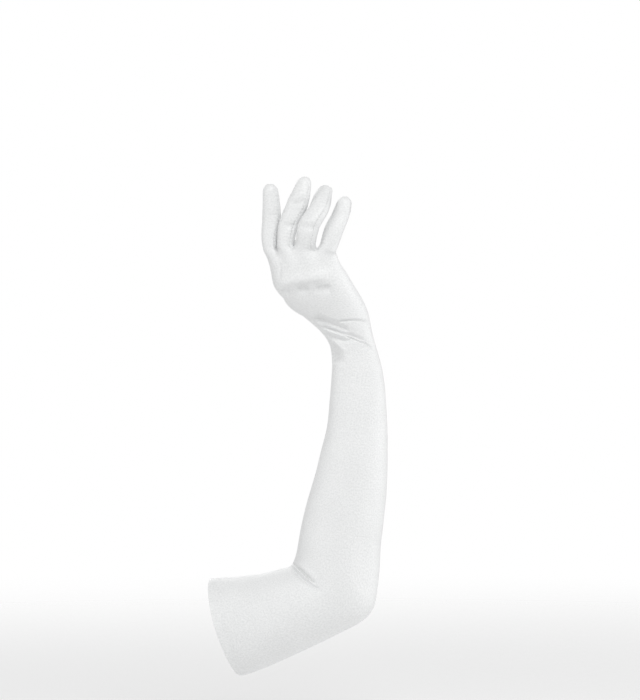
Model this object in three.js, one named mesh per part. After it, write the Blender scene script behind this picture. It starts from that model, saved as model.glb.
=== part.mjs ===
import * as THREE from "three";

// A long satin dress glove for the right hand, in the form that it has on a raised, bent arm.
// The upper arm comes in from the left, the elbow is bent, and the forearm and fingers point up.
// The back of the hand faces the front (-Y), and the thumb lies behind the palm.
// Lengths are in millimetres, angles in degrees, and +Z is up.
// The origin is the middle of the arm opening.
// From the hem to the tip of the middle finger the glove measures 600 mm along its middle.

const WALL = 1;
const HEM_WALL = 1;
const GAP = 0.5;
const SATIN = { color: 0xecedee, roughness: 0.38, metalness: 0 };

// Rows of values as objects, under the names of the columns.
function table(columns, rows) {
  return rows.map((row) => Object.fromEntries(row.map((value, i) => [columns[i], value])));
}

// Sections across the sleeve and the palm, from the hem to the roots of the fingers.
// x, y, z: the middle. width: seen from the front. depth: front to back.
// lean: how far the width line rises towards the right.
// roll: how far the thumb's side is turned to the back.
// arch: how far the middle of the hand stands out from its edges.
// square: 2 is an ellipse, and more is boxier.
// skew: how far the mesh rows run down to the right, along the folds, in rows of this table.
// rows: mesh rows up to the next section.
const SECTIONS = table(
  ["at", "x", "y", "z", "width", "depth", "lean", "roll", "arch", "square", "skew", "rows"],
  [
    ["hem", 0, 0, 0, 111, 98, -72, 0, 0, 2, 0, 1],
    ["hem_stitching", 12, -2.5, 2, 108, 98, -72, 0, 0, 2, 0, 1],
    ["upper_arm_1", 31, -6, 7, 103, 97, -70, 0, 0, 2, 0, 2],
    ["upper_arm_2", 59, -9, 16, 95, 94, -64, 0, 0, 2, 0, 1],
    ["crook_1", 79, -11, 24, 92, 90, -58, 0, 0, 2, 0, 1],
    ["crook_2", 96, -12, 31, 92, 86, -49, 0, 0, 2, 0, 2],
    ["elbow_1", 109, -12, 38, 98, 83, -38, 0, 0, 2, 0, 2],
    ["elbow_2", 116, -12, 47, 101, 82, -30, 0, 0, 2, 0, 2],
    ["elbow_3", 119, -12, 60, 96, 82, -22, 0, 0, 2, 0, 1],
    ["elbow_4", 121, -12, 76, 92, 81, -13, 0, 0, 2, 0, 1],
    ["forearm_1", 123, -12, 96, 89, 80, -8, 0, 0, 2, 0, 1],
    ["forearm_2", 127, -12, 120, 88, 78, -4, 0, 0, 2, 0, 1],
    ["forearm_3", 131, -12, 142, 84, 75, -4, 0, 0, 2, 0, 1],
    ["forearm_4", 135, -12, 165, 78, 71, -4, 0, 0, 2, 0, 1],
    ["forearm_5", 138, -12, 188, 73, 66, -4, 0, 0, 2, 0, 1],
    ["forearm_6", 141, -12, 210, 67, 60, -2, 0, 0, 2, 0, 1],
    ["forearm_7", 142, -12, 233, 63, 55, 0, 0, 0, 2, 0, 1],
    ["forearm_8", 142, -12, 258, 60, 49, 1, 0, 0, 2, 0.1, 1],
    ["forearm_9", 141, -12, 278, 55, 44, 3, 0, 0, 2.1, 0.4, 2],
    ["wrist_1", 139, -12, 294, 51, 41, 4, 0, 0, 2.1, 0.8, 4],
    ["wrist_2", 136, -13, 307, 49, 40, 5, 1, 0, 2.2, 1.0, 4],
    ["wrist_3", 131, -15, 320, 52, 39, 7, 2, 0.5, 2.3, 0.8, 4],
    ["palm_1", 123, -20, 336, 61, 38, 9, 5, 2, 2.4, 0.4, 3],
    ["palm_2", 111, -27, 350, 70, 36, 9, 8, 4, 2.5, 0.1, 3],
    ["palm_3", 98, -35, 364, 77, 34, 9, 11, 6, 2.6, 0, 3],
    ["knuckles", 89, -42, 376, 80, 31, 10, 13, 8, 2.6, 0, 3],
    ["finger_roots", 84.5, -44.5, 390, 76, 26, 7, 14, 9, 2.6, 0, 2],
    ["webs", 81, -45.5, 406, 76, 22, 3, 14, 10, 2.4, 0, 0],
  ],
);

// Fingers, from the index on the left to the little finger on the right.
// Each stop of its middle line has the width and depth of the section there.
// roll: how far a finger is turned about its length, so that the strip on its right side shows.
const STOP_COLUMNS = ["at", "x", "y", "z", "width", "depth"];
const FINGER_COLUMNS = [...STOP_COLUMNS, "roll"];

const FINGERS = [
  {
    name: "index",
    stops: table(FINGER_COLUMNS, [
      ["root", 49.1, -35, 407, 17, 18, 26],
      ["joint_1", 47.4, -35.3, 421, 18.9, 18.5, 20],
      ["middle", 49.1, -35.8, 440, 20.3, 17.5, 8],
      ["joint_2", 48.9, -39.5, 458, 18.7, 16.5, 8],
      ["tip", 47.2, -42.6, 478.3, 15.4, 14.4, 8],
    ]),
  },
  {
    name: "middle",
    stops: table(FINGER_COLUMNS, [
      ["root", 63.6, -46, 410, 18.8, 18, 26],
      ["joint_1", 67.1, -47.3, 433, 22.5, 18, 26],
      ["middle", 74.4, -48, 450, 24, 17.5, 26],
      ["joint_2", 80.1, -51, 465, 22, 16.5, 26],
      ["tip", 85.8, -47, 485.5, 13, 13.5, 26],
    ]),
  },
  {
    name: "ring",
    stops: table(FINGER_COLUMNS, [
      ["root", 85.2, -54.5, 410, 21.6, 18, 26],
      ["joint_1", 88.9, -62, 432, 25, 18, 26],
      ["middle", 99.6, -57, 450, 24.2, 17, 26],
      ["joint_2", 103.6, -45.5, 463, 21, 16, 26],
      ["tip", 107.6, -31, 475.8, 16.5, 14, 26],
    ]),
  },
  {
    name: "little",
    stops: table(FINGER_COLUMNS, [
      ["root", 109, -56, 407, 19.4, 17, 26],
      ["joint_1", 115.6, -57, 428, 22.6, 17, 26],
      ["middle", 122.4, -54, 443, 20.5, 16, 26],
      ["joint_2", 125.6, -53, 453.5, 18, 15, 26],
      ["tip", 128.3, -51, 464.3, 15, 13, 26],
    ]),
  },
];

// The thumb's middle line starts in the middle of its hole in the palm.
const THUMB = table(STOP_COLUMNS, [
  ["ball", 79, 3, 353, 30, 31],
  ["knuckle", 69, 12, 371, 23.5, 24],
  ["joint", 66, 17, 388, 21.5, 21],
  ["pad", 70, 20, 404, 20.5, 19],
  ["tip", 76, 21, 421, 16, 14],
]);

// Folds, dents and knuckles. Each runs from one point to another as seen from the front, with the
// half width of its slope. height: raised if positive and a furrow if negative. side: -1 front, 1 back.
const RELIEF = table(
  ["name", "x1", "z1", "x2", "z2", "half", "height", "side"],
  [
    ["wrist_fold_1", 93, 341, 126, 328, 4.0, -1.8, -1],
    ["wrist_fold_2", 104, 331, 140, 317, 3.6, 1.6, -1],
    ["wrist_fold_3", 107, 325, 162, 302, 3.4, -2.0, -1],
    ["wrist_fold_4", 108, 317, 150, 301, 3.4, 1.5, -1],
    ["wrist_fold_5", 109, 311, 128, 290, 5.0, -1.6, -1],
    ["crook_fold_1", 72, 67, 99, 46, 4.5, 1.8, -1],
    ["crook_fold_2", 66, 62, 93, 38, 4.5, -1.8, -1],
    ["crook_fold_3", 72, 67, 99, 46, 4.5, 1.8, 1],
    ["crook_fold_4", 66, 62, 93, 38, 4.5, -1.8, 1],
    ["elbow_dent", 148, 102, 150, 48, 12, -2.2, -1],
    ["knuckle_ridge", 57, 371, 108, 383, 6, 1.2, -1],
    ["index_knuckle", 58, 372, 59, 375, 7, 1.2, -1],
    ["middle_knuckle", 76, 376, 77, 379, 7, 1.4, -1],
    ["ring_knuckle", 93, 379, 94, 382, 7, 1.2, -1],
    ["little_knuckle", 109, 383, 110, 386, 6, 1.2, -1],
    ["index_hollow", 64, 365, 68, 366, 6, -1.4, -1],
    ["middle_hollow", 83, 369, 87, 370, 6, -1.6, -1],
    ["ring_hollow", 101, 371, 105, 372, 6, -1.4, -1],
    ["palm_hollow", 98, 356, 100, 378, 14, -5, 1],
    ["thumb_mound", 98, 338, 80, 352, 16, 6, 1],
  ],
);

// A ring of the sleeve or palm has 30 points. Its spans are 12 on the back of the hand, 3 on each
// edge and 12 on the palm. Each finger takes 3 spans of the back and 3 of the palm.
const RING = 30;
const SPANS = 3;
const backPoint = (j) => (24 + j) % RING;
const palmPoint = (j) => 21 - j;
const LITTLE_EDGE = [7, 8];
const INDEX_EDGE = [22, 23];

// A finger's ring has 12 points: the back from left to right, the right side, the palm from right
// to left, and the left side.
const BACK = [0, 1, 2, 3];
const RIGHT = [4, 5];
const PALM = [6, 7, 8, 9];
const LEFT = [10, 11];
const FINGER_ROWS = [0.13, 0.27, 0.41, 0.55, 0.68, 0.8, 0.9, 0.965];

// The gussets between the fingers take the side strips of the rings. Half the strip's angle at the
// root and at the tip, and the row where the gusset ends.
const GUSSET_ANGLE = { root: 40, tip: 11 };
const GUSSET_ROWS = 7;

// The web between two fingers: how far its corners lie below the roots and in from the surface, and
// how the valleys between the fingers run out in the last rows of the palm.
const WEB_DROP = 4;
const WEB_SINK = 1.5;
const VALLEY_FADE = [0.5, 0.22, 0.08];

// The thumb's hole: mesh columns, and mesh rows counted from two sections. The thumb's first rings
// have the form of the hole, and then turn into ellipses.
const THUMB_COLUMNS = [17, 21];
const THUMB_FROM = { section: "wrist_3", plus: 1 };
const THUMB_TO = { section: "palm_3", plus: -1 };
const THUMB_ROWS = [0.12, 0.25, 0.38, 0.51, 0.64, 0.77, 0.88, 0.955];
const HOLE_ROUNDING = 3;
const HOLE_SHRINKS_TO = 0.75;
const ROUND_FROM = -0.05;
const ROUND_BY = 0.4;

const radians = THREE.MathUtils.degToRad;

// A value of the table's column at a place between its rows, on a smooth curve through them.
function smooth(rows, column, u) {
  const i = Math.min(Math.floor(u), rows.length - 2);
  const value = (k) => rows[Math.min(Math.max(k, 0), rows.length - 1)][column];
  const [a, b, c, d] = [value(i - 1), value(i), value(i + 1), value(i + 2)];
  const t = u - i;
  return b + 0.5 * t * (c - a + t * (2 * a - 5 * b + 4 * c - d + t * (3 * (b - c) + d - a)));
}

function middleAt(rows, u) {
  return new THREE.Vector3(smooth(rows, "x", u), smooth(rows, "y", u), smooth(rows, "z", u));
}

function directionAt(rows, u) {
  const step = 0.05;
  const ahead = middleAt(rows, Math.min(u + step, rows.length - 1));
  return ahead.sub(middleAt(rows, Math.max(u - step, 0))).normalize();
}

// Points evenly spaced round a rounded section: x is towards the front and y along the width.
function outline(width, depth, square) {
  const steps = 720;
  const power = 2 / square;
  const bend = (value) => Math.sign(value) * Math.abs(value) ** power;
  const trace = [];
  for (let i = 0; i <= steps; i++) {
    const angle = (i / steps) * 2 * Math.PI;
    trace.push(new THREE.Vector2((bend(Math.cos(angle)) * depth) / 2, (bend(Math.sin(angle)) * width) / 2));
  }
  const lengths = [0];
  for (let i = 1; i <= steps; i++) lengths.push(lengths[i - 1] + trace[i].distanceTo(trace[i - 1]));
  const even = [];
  let i = 0;
  for (let k = 0; k < RING; k++) {
    const target = (lengths[steps] * k) / RING;
    while (lengths[i + 1] < target) i++;
    const share = (target - lengths[i]) / (lengths[i + 1] - lengths[i]);
    even.push(trace[i].clone().lerp(trace[i + 1], share));
  }
  return even;
}

// The section at u: its points, and how far each lies to the left (-1) or right (1).
function sectionAt(u) {
  const [width, depth, square, arch, lean, roll] = ["width", "depth", "square", "arch", "lean", "roll"].map(
    (column) => smooth(SECTIONS, column, u),
  );
  const across = new THREE.Vector3(
    Math.cos(radians(lean)) * Math.cos(radians(roll)),
    -Math.sin(radians(roll)),
    Math.sin(radians(lean)) * Math.cos(radians(roll)),
  );
  const front = across.clone().cross(directionAt(SECTIONS, u)).normalize();
  const shape = outline(width, depth, square);
  const sideways = (k) => shape[k].y / (width / 2);
  const point = (k) =>
    middleAt(SECTIONS, u)
      .addScaledVector(front, shape[k].x + arch * (0.5 - sideways(k) ** 2))
      .addScaledVector(across, shape[k].y);
  return { point, sideways };
}

// One ring of points across the sleeve or the palm, with its right side drawn down by the skew.
function sectionRing(u) {
  const { point, sideways } = sectionAt(u);
  const skew = smooth(SECTIONS, "skew", u);
  const place = (k) => (skew ? sectionAt(u - skew * sideways(k)).point(k) : point(k));
  return Array.from({ length: RING }, (_, k) => place(k));
}

// The section of a finger or thumb at a share of its length. The tip is round.
function tubeSection(stops, share) {
  const curve = new THREE.CatmullRomCurve3(stops.map((s) => new THREE.Vector3(s.x, s.y, s.z)));
  const u = curve.getUtoTmapping(share) * (stops.length - 1);
  const tipRadius = stops[stops.length - 1].width / 2;
  const inside = 1 - Math.min((curve.getLength() * (1 - share)) / tipRadius, 1);
  const rounding = Math.sqrt(1 - inside * inside);
  return {
    u,
    middle: curve.getPointAt(share),
    along: curve.getTangentAt(share),
    width: smooth(stops, "width", u) * rounding,
    depth: smooth(stops, "depth", u) * rounding,
  };
}

function ellipsePoint({ middle, width, depth }, across, forwards, angle) {
  return middle
    .clone()
    .addScaledVector(across, (Math.sin(angle) * width) / 2)
    .addScaledVector(forwards, (Math.cos(angle) * depth) / 2);
}

// The 12 points of a finger's ring, with side strips that narrow to the tip.
function fingerRing(finger, share) {
  const section = tubeSection(finger.stops, share);
  const roll = radians(smooth(finger.stops, "roll", section.u));
  const across = new THREE.Vector3(Math.cos(roll), -Math.sin(roll), 0);
  across.addScaledVector(section.along, -across.dot(section.along)).normalize();
  const forwards = across.clone().cross(section.along);
  const strip = THREE.MathUtils.lerp(GUSSET_ANGLE.root, GUSSET_ANGLE.tip, share ** 2);
  const ring = [];
  let angle = strip - 90;
  for (const arc of [180 - 2 * strip, 2 * strip, 180 - 2 * strip, 2 * strip])
    for (let k = 0; k < SPANS; k++) {
      ring.push(ellipsePoint(section, across, forwards, radians(angle)));
      angle += arc / SPANS;
    }
  return ring;
}

const points = [];
const faces = [];

function addPoints(list) {
  return list.map((p) => points.push(p) - 1);
}

// Faces between two rings of the same size. partOf(k) names the piece that span k belongs to, and
// there is no face where it gives nothing.
function addBand(lower, upper, partOf) {
  lower.forEach((corner, k) => {
    const next = (k + 1) % lower.length;
    const part = partOf(k);
    if (part) faces.push({ part, corners: [corner, lower[next], upper[next], upper[k]] });
  });
}

function addCap(ring, tip, part) {
  const [end] = addPoints([tip]);
  ring.forEach((corner, k) => faces.push({ part, corners: [corner, ring[(k + 1) % ring.length], end] }));
}

const rowPlaces = SECTIONS.flatMap((s, i) => Array.from({ length: s.rows }, (_, k) => i + k / s.rows));
const meshRow = ({ section, plus }) =>
  rowPlaces.indexOf(SECTIONS.findIndex((s) => s.at === section)) + plus;
const thumbRows = [meshRow(THUMB_FROM), meshRow(THUMB_TO)];
const inHole = (i, k) =>
  i >= thumbRows[0] && i < thumbRows[1] && k >= THUMB_COLUMNS[0] && k < THUMB_COLUMNS[1];

// The sleeve and palm, with the thumb's hole left open.
const palmRings = rowPlaces.map((u) => addPoints(sectionRing(u)));
palmRings
  .slice(1)
  .forEach((upper, i) => addBand(palmRings[i], upper, (k) => (inHole(i, k) ? null : "trank")));

// The web between a finger and the next, from the back of the hand to the palm: neighbours share it.
function webPoints(finger, next) {
  const left = fingerRing(finger, 0);
  const right = fingerRing(next, 0);
  const leftSide = [BACK[3], ...RIGHT, PALM[0]];
  const rightSide = [BACK[0], LEFT[1], LEFT[0], PALM[3]];
  const web = leftSide.map((k, j) => left[k].clone().lerp(right[rightSide[j]], 0.5));
  const along = tubeSection(finger.stops, 0).along;
  const inwards = web[3].clone().sub(web[0]).normalize();
  web[0].addScaledVector(along, -WEB_DROP).addScaledVector(inwards, WEB_SINK);
  web[3].addScaledVector(along, -WEB_DROP).addScaledVector(inwards, -WEB_SINK);
  return web;
}

// The ring where the fingers begin.
const webs = FINGERS.slice(1).map((finger, f) => webPoints(FINGERS[f], finger));
const rootRing = new Array(RING);
FINGERS.forEach((finger, f) => {
  const ring = fingerRing(finger, 0);
  BACK.forEach((k, j) => (rootRing[backPoint(SPANS * f + j)] ??= ring[k]));
  PALM.forEach((k, j) => (rootRing[palmPoint(SPANS * (f + 1) - j)] ??= ring[k]));
  if (f === 0) LEFT.forEach((k, j) => (rootRing[INDEX_EDGE[j]] = ring[k]));
  if (f < webs.length) rootRing[backPoint(SPANS * (f + 1))] = webs[f][0];
  if (f < webs.length) rootRing[palmPoint(SPANS * (f + 1))] = webs[f][3];
  else RIGHT.forEach((k, j) => (rootRing[LITTLE_EDGE[j]] = ring[k]));
});
const rootPoints = addPoints(rootRing);
const webRings = webs.map((web) => addPoints([web[1], web[2]]));
addBand(palmRings[palmRings.length - 1], rootPoints, () => "trank");

// The valleys between the fingers run out in the palm.
const plainRoot = sectionRing(SECTIONS.length - 1);
VALLEY_FADE.forEach((share, back) => {
  const ring = palmRings[palmRings.length - 1 - back];
  ring.forEach((k, i) => points[k].addScaledVector(rootRing[i].clone().sub(plainRoot[i]), share));
});

// Fingers: the strips that face a neighbour are gussets, and the rest is the trank.
const gussetNames = FINGERS.slice(1).map((finger, f) => `fourchette_${FINGERS[f].name}_${finger.name}`);
FINGERS.forEach((finger, f) => {
  const last = FINGERS.length - 1;
  const right = f < last ? webRings[f] : LITTLE_EDGE.map((k) => rootPoints[k]);
  const left = f > 0 ? [...webRings[f - 1]].reverse() : INDEX_EDGE.map((k) => rootPoints[k]);
  let lower = [
    ...BACK.map((_, j) => rootPoints[backPoint(SPANS * f + j)]),
    ...right,
    ...PALM.map((_, j) => rootPoints[palmPoint(SPANS * (f + 1) - j)]),
    ...left,
  ];
  const partOf = (row, k) => {
    const onRight = k >= BACK[3] && k < PALM[0];
    const onLeft = k >= PALM[3];
    if (row < GUSSET_ROWS && onRight && f < last) return gussetNames[f];
    if (row < GUSSET_ROWS && onLeft && f > 0) return gussetNames[f - 1];
    return "trank";
  };
  FINGER_ROWS.forEach((share, row) => {
    const upper = addPoints(fingerRing(finger, share));
    addBand(lower, upper, (k) => partOf(row, k));
    lower = upper;
  });
  addCap(lower, tubeSection(finger.stops, 1).middle, "trank");
});

// A normal at each point, from the faces round it.
function pointNormals() {
  const sums = points.map(() => new THREE.Vector3());
  for (const { corners } of faces) {
    const [a, b, c, d = a] = corners.map((k) => points[k]);
    const normal = c.clone().sub(a).cross(d.clone().sub(b));
    for (const k of corners) sums[k].add(normal);
  }
  return sums.map((sum) => sum.normalize());
}

// Raises or lowers the surface along each fold, dent and knuckle.
function addRelief() {
  pointNormals().forEach((normal, k) => {
    const p = points[k];
    let height = 0;
    for (const fold of RELIEF) {
      const line = new THREE.Vector2(fold.x2 - fold.x1, fold.z2 - fold.z1);
      const from = new THREE.Vector2(p.x - fold.x1, p.z - fold.z1);
      const share = THREE.MathUtils.clamp(from.dot(line) / line.lengthSq(), 0, 1);
      const away = from.addScaledVector(line, -share).length() / fold.half;
      const facing = Math.sqrt(Math.max(normal.y * fold.side, 0));
      height += fold.height * facing * Math.exp(-away * away);
    }
    p.addScaledVector(normal, height);
  });
}

// The outline of the thumb's hole, with its corners rounded.
function holeOutline() {
  const [first, last] = thumbRows;
  const [start, end] = THUMB_COLUMNS;
  const rim = [];
  for (let k = start; k < end; k++) rim.push(palmRings[first][k]);
  for (let i = first; i < last; i++) rim.push(palmRings[i][end]);
  for (let k = end; k > start; k--) rim.push(palmRings[last][k]);
  for (let i = last; i > first; i--) rim.push(palmRings[i][start]);
  for (let turn = 0; turn < HOLE_ROUNDING; turn++) {
    const old = rim.map((k) => points[k].clone());
    rim.forEach((k, i) => {
      const beside = old[(i + 1) % rim.length].clone().add(old[(i + rim.length - 1) % rim.length]);
      points[k].lerp(beside.divideScalar(2), 0.5);
    });
  }
  return rim;
}

// The thumb grows out of its hole: each ring turns from the hole's outline into an ellipse.
function addThumb() {
  const rim = holeOutline();
  const rimPoints = rim.map((k) => points[k].clone());
  const centre = rimPoints.reduce((sum, p) => sum.add(p), new THREE.Vector3()).divideScalar(rim.length);
  const stops = [{ ...THUMB[0], x: centre.x, y: centre.y, z: centre.z }, ...THUMB];
  let lower = rim;
  for (const share of THUMB_ROWS) {
    const section = tubeSection(stops, share);
    const forwards = rimPoints[0].clone().sub(centre);
    forwards.addScaledVector(section.along, -forwards.dot(section.along)).normalize();
    const across = section.along.clone().cross(forwards);
    const turned = THREE.MathUtils.smoothstep(share, ROUND_FROM, ROUND_BY);
    const size = THREE.MathUtils.lerp(1, HOLE_SHRINKS_TO, turned);
    const ring = rimPoints.map((p, i) => {
      const angle = (i / rim.length) * 2 * Math.PI;
      const held = p.clone().sub(centre).multiplyScalar(size).add(section.middle);
      return held.lerp(ellipsePoint(section, across, forwards, angle), turned);
    });
    const upper = addPoints(ring);
    addBand(lower, upper, () => "thumb");
    lower = upper;
  }
  addCap(lower, tubeSection(stops, 1).middle, "thumb");
}

addRelief();
addThumb();
const normals = pointNormals();

// The outer edges of a set of faces: pairs of points that only one face joins.
function openEdges(own) {
  const edges = new Map();
  for (const { corners } of own)
    corners.forEach((k, i) => {
      const next = corners[(i + 1) % corners.length];
      if (!edges.delete(`${next},${k}`)) edges.set(`${k},${next}`, [k, next]);
    });
  return [...edges.values()];
}

// How far each point on a seam moves back from it, to leave the gap there.
function seamShifts(edges) {
  const mouth = new Set(palmRings[0]);
  const sums = new Map();
  for (const [k, next] of edges) {
    if (mouth.has(k) && mouth.has(next)) continue;
    const along = points[next].clone().sub(points[k]);
    for (const end of [k, next]) {
      if (!sums.has(end)) sums.set(end, new THREE.Vector3());
      sums.get(end).add(normals[end].clone().cross(along).normalize());
    }
  }
  const mostMitre = 4;
  for (const sum of sums.values()) sum.setLength((Math.min(2 / sum.length(), mostMitre) * GAP) / 2);
  return sums;
}

// The closed solid of a set of faces: a wall between two depths below the outer surface.
function wallOf(own, outer, inner) {
  const edges = openEdges(own);
  const shifts = seamShifts(edges);
  const used = [...new Set(own.flatMap(({ corners }) => corners))];
  const place = (k, depth) => {
    const p = points[k].clone().addScaledVector(normals[k], -depth);
    return shifts.has(k) ? p.add(shifts.get(k)) : p;
  };
  const vertices = [outer, inner].flatMap((depth) => used.map((k) => place(k, depth)));
  const vertexOf = new Map(used.map((k, i) => [k, i]));
  const triangles = [];
  const addFace = (corners) => {
    for (let i = 2; i < corners.length; i++) triangles.push(corners[0], corners[i - 1], corners[i]);
  };
  for (const { corners } of own) {
    const [a, b, c, d = a] = corners.map((k) => points[k]);
    const shorter = a.distanceTo(c) <= b.distanceTo(d) ? corners : [...corners.slice(1), corners[0]];
    const face = shorter.map((k) => vertexOf.get(k));
    addFace(face);
    addFace(face.map((k) => k + used.length).reverse());
  }
  for (const edge of edges) {
    const [a, b] = edge.map((k) => vertexOf.get(k));
    addFace([b, a, a + used.length, b + used.length]);
  }
  const geometry = new THREE.BufferGeometry();
  const positions = vertices.flatMap((v) => v.toArray());
  geometry.setAttribute("position", new THREE.Float32BufferAttribute(positions, 3));
  geometry.setIndex(triangles);
  geometry.computeVertexNormals();
  return geometry;
}

const glove = new THREE.Group();

function addPiece(name, geometry) {
  const mesh = new THREE.Mesh(geometry, new THREE.MeshStandardMaterial(SATIN));
  mesh.name = name;
  glove.add(mesh);
}

for (const name of ["trank", "thumb", ...gussetNames]) {
  const own = faces.filter((face) => face.part === name);
  addPiece(name, wallOf(own, 0, WALL));
}

// The hem is the cloth turned in at the arm opening: the sleeve's first band once more, inside it.
const firstBand = faces.slice(0, RING);
addPiece("hem", wallOf(firstBand, WALL + GAP, WALL + GAP + HEM_WALL));

export default glove;
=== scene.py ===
import math

import bmesh
import bpy
import numpy as np
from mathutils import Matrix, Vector, noise
from mathutils.kdtree import KDTree


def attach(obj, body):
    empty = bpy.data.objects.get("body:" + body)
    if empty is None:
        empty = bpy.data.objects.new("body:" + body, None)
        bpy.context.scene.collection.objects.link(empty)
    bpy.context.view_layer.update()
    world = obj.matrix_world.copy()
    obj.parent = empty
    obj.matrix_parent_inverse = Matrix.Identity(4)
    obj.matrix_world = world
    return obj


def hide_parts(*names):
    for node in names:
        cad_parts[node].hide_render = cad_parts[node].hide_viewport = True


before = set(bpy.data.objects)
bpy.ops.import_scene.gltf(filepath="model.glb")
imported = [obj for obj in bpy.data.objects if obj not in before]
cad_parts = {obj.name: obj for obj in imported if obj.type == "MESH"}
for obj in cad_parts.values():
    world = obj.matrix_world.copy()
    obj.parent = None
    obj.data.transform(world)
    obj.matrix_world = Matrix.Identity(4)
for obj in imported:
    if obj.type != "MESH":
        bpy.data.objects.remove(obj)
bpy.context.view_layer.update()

# A long satin glove for the right hand, in the form that it has on a raised, bent arm.
# The cloth is made in millimetres and turned into metres when its meshes are made.
# +X is to the right, -Y is towards the viewer and the back of the hand, and +Z is up.

MM = 0.001
BODY = "root"

# The camera looks level along +Y. PICTURE_SPAN is what its picture's height covers at the origin.
CAMERA_AT = Vector((0.101, -3.012, 0.3005))
PICTURE_SPAN = 0.7595
SENSOR = 36.0
CLIP_END = 50


def table(columns, rows, **usual):
    """Rows of values as dictionaries. usual: the values that a row may leave out at its end."""
    return [{**usual, **dict(zip(columns.split(), row))} for row in rows]


# Sections across the sleeve and the palm, from the hem to the roots of the fingers, in millimetres
# and degrees. x, y, z: the middle. width: seen from the front. depth: front to back.
# lean: how far the width line rises towards the right. rows: mesh rows up to the next section.
# roll: how far the thumb's side is turned back. arch: how far the hand's middle stands out.
# square: 2 is an ellipse, and more is boxier.
# skew: how far mesh rows run down to the right, along the folds, in rows of this table.
SECTIONS = table("at x y z width depth lean rows roll arch square skew", [
    ("hem", 0, 0, 0, 111, 98, -72, 1),
    ("hem_edge", 1.5, -0.3, 0.3, 110.6, 98, -72, 1),
    ("hem_stitching", 12, -2.5, 2, 108, 98, -72, 1),
    ("upper_arm_1", 31, -6, 7, 103, 97, -70, 1),
    ("upper_arm_2", 59, -9, 16, 95, 94, -64, 2),
    ("crook_1", 79, -11, 24, 92, 90, -58, 2),
    ("crook_2", 96, -12, 31, 92, 86, -49, 2),
    ("elbow_1", 109, -12, 38, 98, 83, -38, 2),
    ("elbow_2", 116, -12, 47, 101, 82, -30, 2),
    ("elbow_3", 119, -12, 60, 96, 82, -22, 2),
    ("elbow_4", 121, -12, 76, 92, 81, -13, 2),
    ("forearm_1", 123, -12, 96, 89, 80, -8, 1),
    ("forearm_2", 127, -12, 120, 88, 78, -4, 1),
    ("forearm_3", 131, -12, 142, 84, 75, -4, 1),
    ("forearm_4", 135, -12, 165, 78, 71, -4, 1),
    ("forearm_5", 138, -12, 188, 73, 66, -4, 1),
    ("forearm_6", 141, -12, 210, 67, 60, -2, 2),
    ("forearm_7", 142, -12, 233, 63, 55, 0, 2),
    ("forearm_8", 142, -12, 258, 60, 49, 1, 2, 0, 0, 2, 0.1),
    ("forearm_9", 141, -12, 278, 55, 44, 3, 4, 0, 0, 2.1, 0.4),
    ("wrist_1", 139, -12, 294, 51, 41, 4, 4, 0, 0, 2.1, 0.8),
    ("wrist_2", 136, -13, 307, 49, 40, 5, 4, 1, 0, 2.2, 1.0),
    ("wrist_3", 131, -15, 320, 52, 39, 7, 4, 2, 0.5, 2.3, 0.8),
    ("palm_1", 123, -20, 336, 61, 38, 9, 4, 5, 2, 2.4, 0.4),
    ("palm_2", 111, -27, 350, 70, 36, 9, 4, 8, 4, 2.5, 0.1),
    ("palm_3", 98, -35, 364, 77, 34, 9, 3, 11, 6, 2.6, 0),
    ("knuckles", 89, -42, 376, 80, 31, 10, 3, 13, 8, 2.6, 0),
    ("finger_roots", 84.5, -44.5, 390, 76, 26, 7, 3, 14, 9, 2.6, 0),
    ("webs", 81, -45.5, 406, 76, 22, 3, 0, 14, 10, 2.4, 0),
], roll=0, arch=0, square=2, skew=0)

# Fingers, from the index on the left to the little finger on the right.
# Each stop of a middle line has the width and depth of the section there.
# roll: how far a finger is turned about its length, so that the strip on its right side shows.
STOP_COLUMNS = "at x y z width depth"
FINGER_COLUMNS = STOP_COLUMNS + " roll"

FINGERS = {
    "index": table(FINGER_COLUMNS, [
        ("root", 49.1, -35, 407, 17, 18, 26),
        ("joint_1", 47.4, -35.3, 421, 18.9, 18.5, 20),
        ("middle", 49.1, -35.8, 440, 20.3, 17.5, 8),
        ("joint_2", 48.9, -39.5, 458, 18.7, 16.5, 8),
        ("tip", 47.2, -42.6, 478.3, 15.4, 14.4, 8),
    ]),
    "middle": table(FINGER_COLUMNS, [
        ("root", 63.6, -46, 410, 18.8, 18),
        ("joint_1", 67.1, -47.3, 433, 22.5, 18),
        ("middle", 74.4, -48, 450, 24, 17.5),
        ("joint_2", 80.1, -51, 465, 22, 16.5),
        ("tip", 85.8, -47, 485.5, 13, 13.5),
    ], roll=26),
    "ring": table(FINGER_COLUMNS, [
        ("root", 85.2, -54.5, 410, 21.6, 18),
        ("joint_1", 88.9, -62, 432, 25, 18),
        ("middle", 99.6, -57, 450, 24.2, 17),
        ("joint_2", 103.6, -45.5, 463, 21, 16),
        ("tip", 107.6, -31, 475.8, 16.5, 14),
    ], roll=26),
    "little": table(FINGER_COLUMNS, [
        ("root", 109, -56, 407, 19.4, 17),
        ("joint_1", 115.6, -57, 428, 22.6, 17),
        ("middle", 122.4, -54, 443, 20.5, 16),
        ("joint_2", 125.6, -53, 453.5, 18, 15),
        ("tip", 128.3, -51, 464.3, 15, 13),
    ], roll=26),
}

# The thumb's middle line starts in the middle of its hole in the palm.
THUMB = table(STOP_COLUMNS, [
    ("ball", 79, 3, 353, 30, 31),
    ("knuckle", 69, 12, 371, 23.5, 24),
    ("joint", 66, 17, 388, 21.5, 21),
    ("pad", 70, 20, 404, 20.5, 19),
    ("tip", 76, 21, 421, 16, 14),
])

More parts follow.
